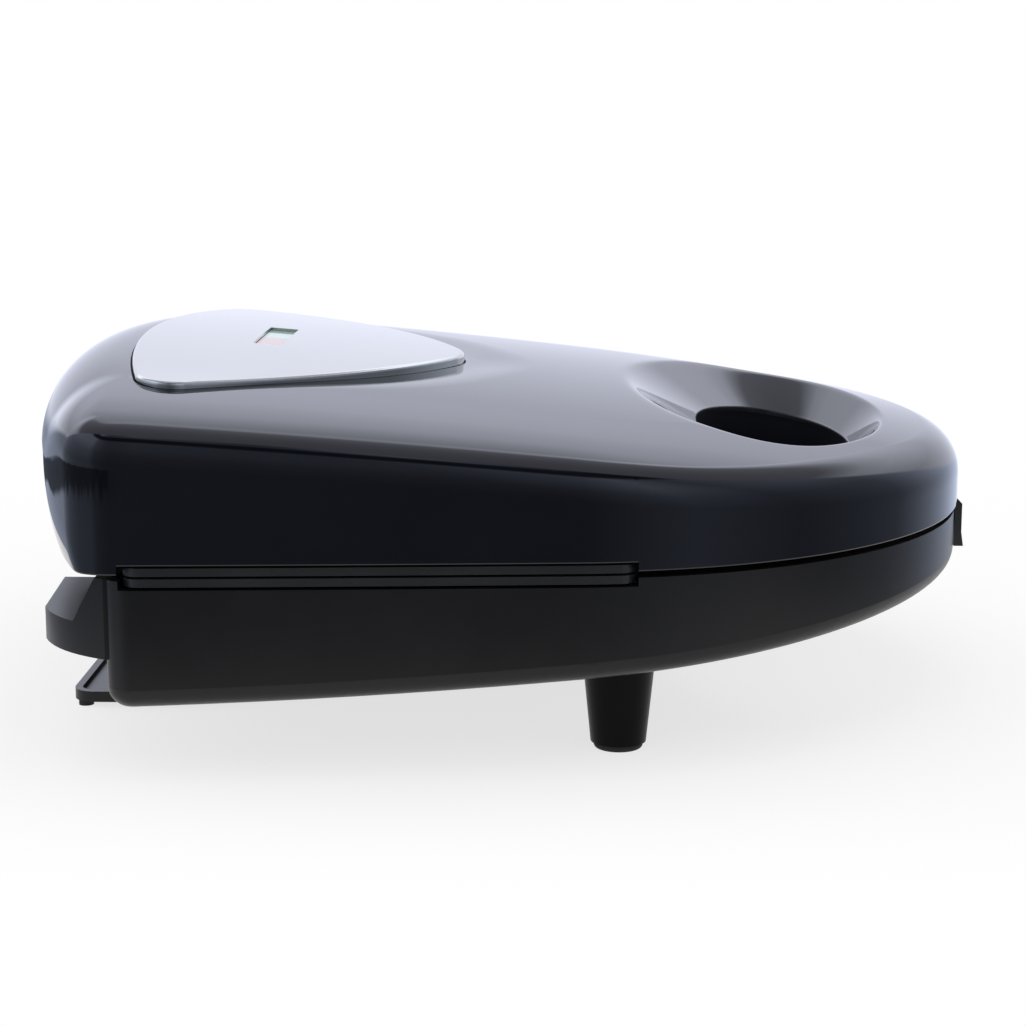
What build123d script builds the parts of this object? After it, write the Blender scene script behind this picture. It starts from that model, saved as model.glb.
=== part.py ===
"""Donut maker: a hinged lid over a base, two cast plates with ring cavities, and a front latch.

Frame: +X to the front (latch), +Z up, z = 0 on the table, Y = 0 the plane of symmetry.
"""
from build123d import *
import os
from math import atan, cos, degrees, radians, sin, sqrt

# Plan outline of the housing
front_radius = 112.0
front_centre_x = 9.0
side_start_angle = 86.0
rear_corner_x = -97.0
rear_half_width = 118.5
lid_corner_x = -102.0
lid_bulge = 26.8
lid_corner_round = 12.0
base_corner_round = 7.0
base_inset = 0.7
wall = 2.8
edge_roll = 7.0

# Heights of the rims and plates above the table
base_rim_z = 49.6
lid_rim_z = 51.2
lower_plate_z = 50.1
upper_plate_z = 50.7

# Lid top: height on the centre line at three places, and its bow across
shoulder_x = -108.0
shoulder_z = 95.5
top_mid_z = 86.4
top_front_x = 118.0
top_front_z = 71.6
shoulder_end_x = -131.0
shoulder_end_z = 74.0
crown_radius = 1250.0

# Lid rear: how far the rim is drawn in below the bulge, and how high that reaches
undercut_depth = 4.1
undercut_height = 22.0
undercut_radius = 310.0
undercut_steps = 4

# Finger hole through the lid and base, and the dish around it
hole_centre_x = 70.0
hole_half_x = 21.0
hole_half_y = 40.0
dish_centre_x = 64.0
dish_half_x = 33.0
dish_half_y = 75.0
dish_depth = 9.0
dish_flare_x = 7.0
dish_flare_y = 16.0
dish_flare_z = 4.0
dish_rim_drop = 1.2

# Silver plate on the lid
trim_tip_x = -15.0
trim_side_x = -50.0
trim_side_y = 60.0
trim_corner_x = -91.0
trim_corner_y = 89.0
trim_rear_x = -104.0
trim_tip_round = 26.0
trim_corner_round = 9.0
trim_proud = 1.5
trim_pocket = 1.2
trim_gap = 0.4
trim_edge_round = 1.0

# Indicator lenses in the silver plate
lamp_x = -69.0
lamp_width = 8.0
lamp_length = 38.0
lens_recess = 0.8
lens_depth = 4.0
lens_gap = 0.15
neon_radius = 2.5
neon_length = 14.0
holder_wall = 1.2
holder_depth = 10.0

# Base underside
belly_rear_z = 18.0
belly_mid_x = 25.0
belly_mid_z = 24.6
belly_front_z = 35.0
belly_round = 5.0

# Front feet
foot_x = 26.2
foot_y = 82.0
foot_top_radius = 9.6
foot_bottom_radius = 7.0
pad_radius = 6.2
pad_height = 3.0
pad_sink = 1.2
pad_round = 1.0

# Rear ledges and hinge
ear_inner_y = 60.0
ear_bend_x = -106.0
ear_bend_y = 107.5
ear_rear_x = -115.0
ear_rear_y = 93.5
ear_back_x = -117.5
ear_bottom_z = 30.0
ear_top_z = 38.0
ear_cheek_top_x = -98.5
ear_cheek_low_x = -105.0
hinge_x = -112.0
hinge_z = 46.0
hinge_boss_radius = 4.5
hinge_pin_radius = 2.0
hinge_pin_clearance = 0.05
hinge_pin_end_gap = 1.0
lug_width = 6.0
lug_low_z = 37.0
arm_inner_y = 40.0
arm_outer_y = 46.0
arm_side_gap = 0.4
arm_top_z = 64.0

# Cast plates with ring cavities
plate_rear_x = -91.6
plate_front_x = 29.6
plate_inset = 1.3
plate_thickness = 2.0
plate_corner = 4.0
ring_radius = 17.5
ring_section = 9.5
ring_wall = 2.0
bump_sides = 8
ring_pitch_x = 60.0
ring_pitch_y = 72.0
ring_columns = 3
window_gap = 0.65
window_end_gap = 0.6
window_depth = 13.2

# Heating elements under the plates
tube_radius = 3.0
tube_end_y = 96.0
tube_gap = 0.1
strap_width = 10.0
strap_thickness = 1.0
strap_overhang = 6.0
strap_boss_radius = 4.0
reflector_thickness = 0.6
reflector_gap = 1.0
reflector_end_gap = 4.0

# Posts and screws
post_radius = 4.5
post_shoulder_radius = 6.0
post_hole_radius = 1.7
plate_boss_radius = 4.0
plate_boss_height = 5.0
seat_gap = 0.1
screw_radius = 1.5
screw_head_radius = 3.2
screw_head_height = 1.8
screw_clearance = 0.05
sunk_head_radius = 2.9
sunk_head_height = 1.4
plate_screw_rear_x = -84.0
plate_screw_rear_inset = 14.5
plate_screw_front_x = 21.5
plate_screw_front_inset = 12.0
screw_recess_radius = 3.8
plate_seat_depth = 10.0
lid_screw_depth = 14.0
panel_screw_depth = 9.0
strap_screw_depth = 7.5
pilot_spare = 1.0

# Panels that close the lid's underside and the base's front
panel_thickness = 2.0
panel_gap = 0.3
panel_screw_front_inset = 17.0
panel_screw_front_y = 36.0
panel_screw_side_x = 44.0
panel_screw_side_inset = 26.0
panel_screw_rear_x = -103.0
panel_screw_rear_y = 72.0

# Thermostat and thermal fuse on the upper plate
control_x = 19.0
control_y = 36.0
thermostat_radius = 7.0
thermostat_height = 7.0
fuse_radius = 2.0
fuse_length = 13.0
fuse_bracket = 16.0
fuse_bracket_margin = 1.0
tab_spread = 4.0
tab_thickness = 0.8
tab_height = 5.0

# Latch
latch_half_width = 14.0
latch_front_proud = 0.7
latch_lip_proud = 1.3
latch_thickness = 2.0
latch_set_back = 1.9
latch_bottom_z = 38.0
latch_lip_height = 4.0
latch_top_z = 58.0
latch_pivot_depth = 4.6
latch_pivot_z = 55.4
latch_boss_radius = 2.6
latch_pin_radius = 1.25
latch_pin_clearance = 0.05
latch_pin_bearing = 5.0
latch_nose_depth = 1.9
latch_nose_z = 41.0
latch_nose_height = 2.0
catch_set_back = 2.4
catch_bottom_z = 44.0
catch_depth = 3.0
latch_side_gap = 0.4
latch_top_gap = 1.5
latch_boss_wall = 2.0

# Cord-wrap bracket under the rear, its feet, and the cord inlet
wrap_rear_x = -119.3
wrap_front_x = -76.0
wrap_half_y = 50.0
wrap_bottom_z = 1.5
wrap_thickness = 1.7
wrap_lip_height = 1.2
wrap_lip_width = 2.0
wrap_corner = 6.0
wrap_core_rear_x = -95.0
wrap_core_front_x = -79.0
wrap_core_half_y = 34.0
wrap_core_wall = 3.0
nub_x = -116.0
nub_y = 46.5
nub_radius = 2.0
nub_sink = 0.6
wrap_screw_y = 24.0
inlet_z = 29.0
inlet_bore_radius = 4.0
inlet_body_radius = 5.6
inlet_flange_radius = 7.4
inlet_flange = 1.8
inlet_length = 9.0
terminal_size_x = 12.0
terminal_size_y = 24.0
terminal_height = 5.0
terminal_x = -80.0

# Worked-out values
front_end_x = front_centre_x + front_radius
base_rear_x = rear_corner_x + base_inset
lid_rear_x = lid_corner_x - lid_bulge
pilot_radius = screw_radius + screw_clearance
pin_seat_radius = hinge_pin_radius + screw_clearance
plate_mid_x = (plate_rear_x + plate_front_x) / 2
row_xs = [plate_mid_x - ring_pitch_x / 2, plate_mid_x + ring_pitch_x / 2]
column_ys = [(i - (ring_columns - 1) / 2) * ring_pitch_y for i in range(ring_columns)]
strap_ys = [(column_ys[i] + column_ys[i + 1]) / 2 for i in range(ring_columns - 1)]
bump_depth = ring_section + ring_wall
tube_offset = bump_depth + tube_gap + tube_radius
strap_offset = tube_offset + tube_radius + tube_gap
reflector_offset = strap_offset + strap_thickness + screw_head_height + seat_gap
plate_screw_points = [
    (x, side * y)
    for x, y in (
        (plate_screw_rear_x, rear_half_width - plate_screw_rear_inset),
        (plate_screw_front_x, front_radius - plate_screw_front_inset),
    )
    for side in (-1, 1)
]
front_panel_points = [
    (x, side * y)
    for x, y in (
        (front_end_x - panel_screw_front_inset, panel_screw_front_y),
        (panel_screw_side_x, front_radius - panel_screw_side_inset),
    )
    for side in (-1, 1)
]
rear_panel_points = [(panel_screw_rear_x, side * panel_screw_rear_y) for side in (-1, 1)]
latch_front_x = front_end_x + latch_front_proud
latch_lip_x = front_end_x + latch_lip_proud
latch_pivot_x = front_end_x - latch_pivot_depth
latch_nose_x = front_end_x - latch_nose_depth
catch_x = front_end_x - catch_set_back
frame_shift = -(lid_rear_x + latch_lip_x) / 2
low_z = -20.0
high_z = 140.0
far = 300.0
up = (Align.CENTER, Align.CENTER, Align.MIN)


# Small helpers
def block(x0, x1, y0, y1, z0, z1):
    """A box between two corners."""
    size = Box(x1 - x0, y1 - y0, z1 - z0)
    return Pos((x0 + x1) / 2, (y0 + y1) / 2, (z0 + z1) / 2) * size


def rod(x, y, z0, z1, radius):
    """An upright cylinder from z0 to z1."""
    return Pos(x, y, z0) * Cylinder(radius, z1 - z0, align=up)


def rod_y(x, z, y0, y1, radius):
    """A cylinder along Y from y0 to y1."""
    return Pos(x, (y0 + y1) / 2, z) * Rot(90, 0, 0) * Cylinder(radius, y1 - y0)


def joined(solids):
    """The union of a list of solids."""
    whole = solids[0]
    for solid in solids[1:]:
        whole = whole + solid
    return whole


def both_sides(solid):
    """A solid at -Y and its mirror image at +Y, fused."""
    return solid + mirror(solid, about=Plane.XZ)


def group(solids):
    """Separate solids kept together in one node."""
    return Compound(list(solids))


def top_z(x):
    """Height of the lid's top on its centre line."""
    rear = (shoulder_z - top_mid_z) / shoulder_x
    front = (top_front_z - top_mid_z) / top_front_x
    bend = (front - rear) / (top_front_x - shoulder_x)
    return top_mid_z + x * (rear + bend * (x - shoulder_x))


def belly_z(x):
    """Height of the base's underside."""
    rise = (belly_mid_z - belly_rear_z) / (belly_mid_x - rear_corner_x)
    front = (belly_front_z - belly_rear_z) / (front_end_x - rear_corner_x)
    bend = (front - rise) / (front_end_x - belly_mid_x)
    return belly_rear_z + (x - rear_corner_x) * (rise + bend * (x - belly_mid_x))


# Outlines and body forms
def plan(inset, bulge, rounded=True):
    """Plan of the housing: a round front, nearly straight sides, and a rear that may bow out."""
    radius = front_radius - inset
    angle = radians(side_start_angle)
    turn_x = front_centre_x + radius * cos(angle)
    turn_y = radius * sin(angle)
    corner_x = (lid_corner_x if bulge > 0 else rear_corner_x) + inset
    corner_y = rear_half_width - inset
    front = ThreePointArc((turn_x, -turn_y), (front_centre_x + radius, 0), (turn_x, turn_y))
    left = TangentArc((turn_x, turn_y), (corner_x, corner_y), tangent=(-sin(angle), cos(angle)))
    right = TangentArc((turn_x, -turn_y), (corner_x, -corner_y), tangent=(-sin(angle), -cos(angle)))
    if bulge > 0:
        rear = ThreePointArc((corner_x, corner_y), (corner_x - bulge, 0), (corner_x, -corner_y))
    else:
        rear = Line((corner_x, corner_y), (corner_x, -corner_y))
    face = make_face([front, left, rear, right])
    if not rounded:
        return face
    corners = [v for v in face.vertices() if v.X < corner_x + seat_gap]
    return fillet(corners, (lid_corner_round if bulge > 0 else base_corner_round) - inset)


def oval(x, half_x, half_y):
    """An ellipse about a point on the centre line."""
    return Pos(x, 0) * Ellipse(half_x, half_y)


def column(face, z0, z1):
    """A flat face raised from z0 to z1."""
    return extrude(Pos(0, 0, z0) * face, z1 - z0)


def crown(drop):
    """Everything under the lid's top, lowered by drop: the top line swung about a long-way-down axis."""
    nose_x = front_end_x + wall + edge_roll
    start = Vector(shoulder_x, top_z(shoulder_x) - drop)
    top = ThreePointArc(start, (0, top_z(0) - drop), (nose_x, top_z(nose_x) - drop))
    heel = (shoulder_end_x + drop, shoulder_end_z)
    shoulder = TangentArc(start, heel, tangent=top.tangent_at(0) * -1)
    sides = Polyline(heel, (heel[0], low_z), (nose_x, low_z), (nose_x, top_z(nose_x) - drop))
    profile = Plane.XZ * make_face([top, shoulder, sides])
    slope = (top_z(nose_x) - top_z(shoulder_x)) / (nose_x - shoulder_x)
    axis = Axis((0, 0, top_mid_z - crown_radius), (1, 0, slope))
    half_turn = 2 * degrees(atan(rear_half_width / crown_radius))
    return revolve(profile.rotate(axis, -half_turn), axis, 2 * half_turn)


def belly(drop):
    """Everything above the base's underside, lowered by drop."""
    rear_x = rear_corner_x - edge_roll
    nose_x = front_end_x + edge_roll
    curve = ThreePointArc(
        (rear_x, belly_z(rear_x) - drop),
        (belly_mid_x, belly_mid_z - drop),
        (nose_x, belly_z(nose_x) - drop),
    )
    sides = Polyline(
        (nose_x, belly_z(nose_x) - drop), (nose_x, high_z), (rear_x, high_z), (rear_x, belly_z(rear_x) - drop)
    )
    profile = Plane.XZ * make_face([curve, sides])
    return extrude(profile, far, both=True)


def dish(grow, lower):
    """The funnel of the finger hole; grow and lower give its outside."""
    tilt = degrees(atan((top_z(dish_centre_x + 1) - top_z(dish_centre_x - 1)) / 2))
    sections = (
        (dish_centre_x, dish_half_x + dish_flare_x, dish_half_y + dish_flare_y, dish_flare_z),
        (dish_centre_x, dish_half_x, dish_half_y, -dish_rim_drop),
        (hole_centre_x, hole_half_x, hole_half_y, -dish_depth),
    )
    faces = [
        Pos(x, 0, top_z(x) + z - lower) * Rot(0, -tilt, 0) * Ellipse(half_x + grow, half_y + grow)
        for x, half_x, half_y, z in sections
    ]
    return loft(faces)


def shield(grow):
    """Plan of the silver plate: a rounded shield with its tip to the front; grow gives its pocket."""
    slant = grow / sqrt(2)
    corner_x = trim_corner_x - slant
    tip = (trim_tip_x + grow, 0)
    half = []
    for side in (1, -1):
        corner = (corner_x, side * (trim_corner_y + grow))
        half.append(ThreePointArc(tip, (trim_side_x + slant, side * (trim_side_y + slant)), corner))
    rear = ThreePointArc(half[0] @ 1, (trim_rear_x - grow, 0), half[1] @ 1)
    face = make_face([half[0], rear, half[1]])
    face = fillet(face.vertices().sort_by(Axis.X)[-1], trim_tip_round + grow)
    corners = [v for v in face.vertices() if v.X < corner_x + seat_gap]
    return fillet(corners, trim_corner_round + grow)


def screw(x, y, seat_z, tip_z):
    """A pan-head screw: its head sits at seat_z and its shank ends at tip_z."""
    away = 1 if seat_z > tip_z else -1
    head_z = sorted((seat_z, seat_z + away * screw_head_height))
    shank_z = sorted((seat_z, tip_z))
    return rod(x, y, *head_z, screw_head_radius) + rod(x, y, *shank_z, screw_radius)


def flat_screw(x, y, face_z, tip_z):
    """A countersunk screw with its head flush at face_z and its shank ending at tip_z."""
    into = 1 if tip_z > face_z else -1
    head = Cone(sunk_head_radius, screw_radius, sunk_head_height, align=up)
    head = Pos(x, y, face_z) * (head if into > 0 else Rot(180, 0, 0) * head)
    return head + rod(x, y, *sorted((face_z, tip_z)), screw_radius)


def sunk_hole(x, y, face_z, end_z):
    """A clearance hole with a countersink at face_z."""
    into = 1 if end_z > face_z else -1
    depth = sunk_head_height + post_hole_radius - screw_radius
    mouth = Cone(sunk_head_radius + post_hole_radius - screw_radius, screw_radius, depth, align=up)
    mouth = Pos(x, y, face_z) * (mouth if into > 0 else Rot(180, 0, 0) * mouth)
    return mouth + rod(x, y, *sorted((face_z, end_z)), post_hole_radius)


# Lid
def lid_outer():
    """The lid as a solid lump with rolled edges and a drawn-in rear."""
    lump = column(plan(0, lid_bulge), lid_rim_z, high_z) & crown(0)
    rims = [
        e for e in lump.edges()
        if e.bounding_box().min.Z > lid_rim_z + edge_roll
        and (abs(e.center().Y) > edge_roll or abs(e.center().X - shoulder_x) > edge_roll)
    ]
    return fillet(rims, edge_roll) - rear_undercut(0)


def rear_undercut(inset):
    """What is cut away under the lid's rear bulge: the rear wall curls in towards the rim."""
    wide = rear_half_width + edge_roll
    sag = undercut_radius - sqrt(undercut_radius ** 2 - wide ** 2)
    sections = []
    for i in range(-1, undercut_steps + 1):
        height = i / undercut_steps
        mid_x = lid_rear_x + inset + undercut_depth * (1 - height) ** 2
        arc = ThreePointArc((mid_x + sag, -wide), (mid_x, 0), (mid_x + sag, wide))
        back = Polyline((mid_x + sag, wide), (-far, wide), (-far, -wide), (mid_x + sag, -wide))
        sections.append(Pos(0, 0, lid_rim_z + height * undercut_height) * make_face([arc, back]))
    return loft(sections)


def lid_cavity():
    """The hollow inside the lid."""
    hollow = column(plan(wall, lid_bulge), lid_rim_z - wall, high_z) & crown(wall)
    return hollow - rear_undercut(wall)


def lid_posts():
    """Posts that hang from the lid's ceiling for the plate, the reflector and the panels."""
    post_z = upper_plate_z + plate_thickness + plate_boss_height + seat_gap
    shoulder_z0 = upper_plate_z + reflector_offset + reflector_thickness + seat_gap
    panel_z = lid_rim_z + panel_gap + panel_thickness + seat_gap
    posts = [rod(x, y, post_z, high_z, post_radius) for x, y in plate_screw_points]
    posts += [rod(x, y, shoulder_z0, high_z, post_shoulder_radius) for x, y in plate_screw_points]
    posts += [rod(x, y, panel_z, high_z, post_radius) for x, y in front_panel_points + rear_panel_points]
    return joined(posts)


def lid_post_holes():
    """Pilot holes in the lid's posts."""
    plate_z = upper_plate_z + plate_thickness
    panel_z = lid_rim_z + panel_gap
    holes = [
        rod(x, y, plate_z, plate_z + lid_screw_depth + pilot_spare, pilot_radius) for x, y in plate_screw_points
    ]
    holes += [
        rod(x, y, panel_z, panel_z + panel_screw_depth + pilot_spare, pilot_radius)
        for x, y in front_panel_points + rear_panel_points
    ]
    return joined(holes)


def hinge_arm():
    """The lid's hinge arm on the -Y side: a rib from the rear wall with a barrel at its foot."""
    rib = block(
        lid_rear_x, hinge_x + hinge_boss_radius, -arm_outer_y, -arm_inner_y,
        lid_rim_z + panel_gap, arm_top_z,
    )
    neck = block(
        hinge_x - hinge_boss_radius, hinge_x + hinge_boss_radius, -arm_outer_y, -arm_inner_y,
        hinge_z, arm_top_z,
    )
    return rib, neck + rod_y(hinge_x, hinge_z, -arm_outer_y, -arm_inner_y, hinge_boss_radius)


def hinge_bore():
    """The running bore in the lid's hinge arm on the -Y side."""
    return rod_y(
        hinge_x, hinge_z, -arm_outer_y - arm_side_gap, -arm_inner_y + arm_side_gap,
        hinge_pin_radius + hinge_pin_clearance,
    )


def window(z0, z1):
    """The slot in both side walls through which the plates' edges show."""
    inner_y = rear_half_width - window_depth
    slot = block(
        plate_rear_x - window_end_gap, plate_front_x + window_end_gap, -far, -inner_y, z0, z1
    )
    return both_sides(slot)


def latch_bearing():
    """Blocks inside the lid's front that hold the latch pin."""
    inner = latch_half_width + latch_side_gap
    outer = inner + latch_pin_bearing
    size = latch_boss_radius + latch_boss_wall
    block_low_z = latch_pivot_z - latch_boss_radius
    one = block(latch_pivot_x - size, far, -outer, -inner, block_low_z, latch_top_z + latch_boss_wall)
    return both_sides(one)


def latch_opening():
    """The notch in the lid's front wall that the latch hangs in."""
    half = latch_half_width + latch_side_gap
    return block(
        latch_pivot_x - latch_boss_radius - latch_boss_wall, far, -half, half,
        lid_rim_z - wall, latch_top_z + latch_top_gap,
    )


def lid_shell():
    outer = lid_outer()
    funnel = (dish(wall, wall) & outer) + (
        column(oval(hole_centre_x, hole_half_x + wall, hole_half_y + wall), lid_rim_z, high_z) & crown(dish_depth)
    )
    rib, neck = hinge_arm()
    inside = lid_posts() + latch_bearing() + both_sides(rib)
    shell = outer - lid_cavity() + (funnel & outer) + (inside & outer)
    shell = shell - lid_post_holes() - dish(0, 0)
    shell = shell - column(oval(hole_centre_x, hole_half_x, hole_half_y), lid_rim_z - wall, high_z)
    shell = shell - latch_opening()
    shell = shell - rod_y(
        latch_pivot_x, latch_pivot_z, -latch_pin_end(), latch_pin_end(), latch_pin_radius + screw_clearance
    )
    shell = shell - window(lid_rim_z - wall, upper_plate_z + plate_thickness + window_gap)
    pocket = column(shield(trim_gap), lid_rim_z, high_z) - crown(trim_pocket)
    shell = shell - pocket
    shell = shell - lamp_slot(0)
    return shell + both_sides(neck) - both_sides(hinge_bore())


def latch_pin_end():
    """Half the latch pin's length."""
    return latch_half_width + latch_side_gap + latch_pin_bearing - latch_boss_wall


# Silver plate and lamps
def lamp_slot(inset):
    """The upright slot for the lenses."""
    return block(
        lamp_x - lamp_width / 2 + inset, lamp_x + lamp_width / 2 - inset,
        -lamp_length / 2 + inset, lamp_length / 2 - inset, top_z(lamp_x) - holder_depth, high_z,
    )


def top_plate():
    blank = column(shield(0), lid_rim_z, high_z) & crown(-trim_proud)
    rim = [e for e in blank.edges() if e.bounding_box().min.Z > lid_rim_z + edge_roll]
    blank = fillet(rim, trim_edge_round)
    return blank - crown(trim_pocket) - lamp_slot(0)


def lens(side):
    """One lens: side is -1 for the near one and +1 for the far one."""
    half = block(-far, far, min(0, side * far), max(0, side * far), low_z, high_z)
    body = lamp_slot(lens_gap) & half & crown(lens_recess - trim_proud)
    body = body - crown(lens_recess - trim_proud + lens_depth)
    return body - block(-far, far, -lens_gap / 2, lens_gap / 2, low_z, high_z)


def lamp_holder():
    """A tray under the lenses that carries the two neon lamps."""
    half_x = lamp_width / 2 + holder_wall
    half_y = lamp_length / 2 + holder_wall
    roof = crown(wall + seat_gap)
    base_z = top_z(lamp_x) - wall - holder_depth
    tray = block(lamp_x - half_x, lamp_x + half_x, -half_y, half_y, base_z, high_z) & roof
    hollow = block(
        lamp_x - lamp_width / 2, lamp_x + lamp_width / 2, -lamp_length / 2, lamp_length / 2,
        base_z + holder_wall, high_z,
    )
    return tray - hollow


def neon_lamps():
    z = top_z(lamp_x) - wall - holder_depth + holder_wall + neon_radius + seat_gap
    lamps = []
    for side in (-1, 1):
        y = side * lamp_length / 4
        lamps.append(rod_y(lamp_x, z, y - neon_length / 2, y + neon_length / 2, neon_radius))
    return group(lamps)


# Cooking plates and what heats them; facing is +1 for the lower plate, which opens upwards
def place(facing):
    """Puts a piece drawn as part of the lower plate at z = 0 on the lower or upper plate."""
    if facing > 0:
        return Pos(0, 0, lower_plate_z)
    return Pos(0, 0, upper_plate_z)


def flip(solid, facing):
    """Turns a piece drawn under z = 0 over for the upper plate, then puts it in place."""
    turned = solid if facing > 0 else mirror(solid, about=Plane.XY)
    return place(facing) * turned


def strip_plan(inset, end_gap):
    """The housing's plan between the plate's ends, drawn in by inset at the sides and end_gap at the ends."""
    rear_x = plate_rear_x + end_gap
    front_x = plate_front_x - end_gap
    face = plan(inset, 0, rounded=False) & Pos((rear_x + front_x) / 2, 0) * Rectangle(front_x - rear_x, far)
    corners = [v for v in face.vertices() if v.X < rear_x + seat_gap or v.X > front_x - seat_gap]
    return fillet(corners, plate_corner)


def ring(section):
    """Rings of the given section, one about each cavity's centre."""
    profile = Plane.XZ * Pos(ring_radius, 0) * section
    one = revolve(profile, Axis.Z)
    return [Pos(x, y, 0) * one for x in row_xs for y in column_ys]


def strap_points():
    """Where the bosses for the element straps stand."""
    return [(plate_mid_x, y) for y in strap_ys]


def cooking_plate(facing):
    slab = extrude(strip_plan(plate_inset, 0), -plate_thickness)
    under = block(-far, far, -far, far, -far, 0)
    section = RegularPolygon(bump_depth, bump_sides, major_radius=False, rotation=180 / bump_sides)
    bumps = [solid & under for solid in ring(section)]
    bosses = [rod(x, y, -strap_offset, 0, strap_boss_radius) for x, y in strap_points()]
    bosses += [
        rod(x, y, -plate_thickness - plate_boss_height, 0, plate_boss_radius) for x, y in plate_screw_points
    ]
    body = joined([slab] + bumps + bosses)
    for solid in ring(Circle(ring_section)):
        body = body - solid
    for x, y in strap_points():
        body = body - rod(x, y, -far, -strap_offset + strap_screw_depth + pilot_spare, pilot_radius)
    for x, y in plate_screw_points:
        if facing > 0:
            body = body - rod(x, y, -far, -plate_thickness, pilot_radius)
        else:
            body = body - sunk_hole(x, y, 0, -far)
    return flip(body, facing)


def element(facing):
    """A U of sheathed heating tube that lies against the ring bumps."""
    bend = ring_pitch_x / 2
    bend_y = tube_end_y - bend
    path = Wire([
        Line((row_xs[0], -tube_end_y), (row_xs[0], bend_y)),
        ThreePointArc((row_xs[0], bend_y), (plate_mid_x, tube_end_y), (row_xs[1], bend_y)),
        Line((row_xs[1], bend_y), (row_xs[1], -tube_end_y)),
    ])
    start = Plane(origin=(row_xs[0], -tube_end_y, 0), z_dir=(0, 1, 0))
    tube = sweep(start * Circle(tube_radius), path=path)
    return flip(Pos(0, 0, -tube_offset) * tube, facing)


def element_clamps(facing):
    """Flat straps that hold both runs of the tube against the bumps."""
    half_x = ring_pitch_x / 2 + strap_overhang
    straps = []
    for x, y in strap_points():
        strap = block(
            x - half_x, x + half_x, y - strap_width / 2, y + strap_width / 2,
            -strap_offset - strap_thickness, -strap_offset,
        )
        straps.append(strap - rod(x, y, -far, 0, post_hole_radius))
    return [flip(strap, facing) for strap in straps]


def clamp_screws(facing):
    """Screws through the straps into the plate's bosses."""
    tip = -strap_offset + strap_screw_depth
    screws = [screw(x, y, -strap_offset - strap_thickness, tip) for x, y in strap_points()]
    return [flip(solid, facing) for solid in screws]


def reflector(facing):
    """A thin tray behind the element, open round the posts and screw heads."""
    face = strip_plan(base_inset + wall + reflector_gap, reflector_end_gap)
    sheet = Pos(0, 0, -reflector_offset - reflector_thickness) * extrude(face, reflector_thickness)
    for x, y in plate_screw_points:
        sheet = sheet - rod(x, y, -far, far, post_radius + panel_gap)
    return flip(sheet, facing)


def lower_plate_screws():
    """Screws that come up through the base's posts into the plate's corner bosses."""
    tip = lower_plate_z - plate_thickness - seat_gap
    return group([screw(x, y, plate_screw_seat_z(), tip) for x, y in plate_screw_points])


def plate_screw_seat_z():
    """Where the heads of the lower plate's screws sit, down in the base's posts."""
    return lower_plate_z - plate_thickness - plate_seat_depth


def plate_screw_ways():
    """Clearance holes and head recesses for the lower plate's screws, through the posts and the floor."""
    seat = plate_screw_seat_z()
    ways = [rod(x, y, seat, lower_plate_z, post_hole_radius) for x, y in plate_screw_points]
    ways += [rod(x, y, low_z, seat, screw_recess_radius) for x, y in plate_screw_points]
    return joined(ways)


def upper_plate_screws():
    """Countersunk screws through the upper plate's corners into the lid's posts."""
    tip = upper_plate_z + plate_thickness + lid_screw_depth
    return group([flat_screw(x, y, upper_plate_z, tip) for x, y in plate_screw_points])


# Base
def ear():
    """The rear ledge on the -Y side: a rounded shelf whose cheek slopes up to the base's rim."""
    corner_y = rear_half_width - base_inset - base_corner_round / 2
    inside_x = base_rear_x + wall
    outline = make_face([
        ThreePointArc((base_rear_x, -corner_y), (ear_bend_x, -ear_bend_y), (ear_rear_x, -ear_rear_y)),
        Polyline(
            (ear_rear_x, -ear_rear_y), (ear_back_x, -ear_inner_y), (inside_x, -ear_inner_y),
            (inside_x, -corner_y), (base_rear_x, -corner_y),
        ),
    ])
    cheek = Plane.XZ * make_face(Polyline(
        (inside_x, ear_bottom_z), (inside_x, base_rim_z), (ear_cheek_top_x, base_rim_z),
        (ear_cheek_low_x, ear_top_z), (-far, ear_top_z), (-far, ear_bottom_z), close=True,
    ))
    return column(outline, ear_bottom_z, base_rim_z) & extrude(cheek, far, both=True)


def lugs():
    """Two lugs that carry the hinge pin on the -Y side, one on each side of the lid's arm."""
    inside_x = base_rear_x + wall
    parts = []
    for near_y in (arm_inner_y - arm_side_gap - lug_width, arm_outer_y + arm_side_gap):
        barrel = rod_y(hinge_x, hinge_z, -near_y - lug_width, -near_y, hinge_boss_radius)
        side = Plane.XZ * make_face(Polyline(
            (hinge_x, hinge_z + hinge_boss_radius), (inside_x, hinge_z), (inside_x, lug_low_z),
            (hinge_x, hinge_z - hinge_boss_radius), close=True,
        ))
        web = Pos(0, -near_y, 0) * extrude(side, lug_width)
        parts.append(barrel + web)
    return joined(parts) - rod_y(hinge_x, hinge_z, -hinge_pin_ends()[1], -hinge_pin_ends()[0], pin_seat_radius)


def hinge_pin_ends():
    """Distances of a hinge pin's ends from the centre plane."""
    inner = arm_inner_y - arm_side_gap - lug_width
    outer = arm_outer_y + arm_side_gap + lug_width
    return inner + hinge_pin_end_gap, outer - hinge_pin_end_gap


def base_outer():
    """The base as a solid lump with a rounded underside."""
    lump = column(plan(base_inset, 0), low_z, base_rim_z) & belly(0)
    under = [e for e in lump.edges() if e.bounding_box().max.Z < base_rim_z - edge_roll]
    return fillet(under, belly_round)


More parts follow.
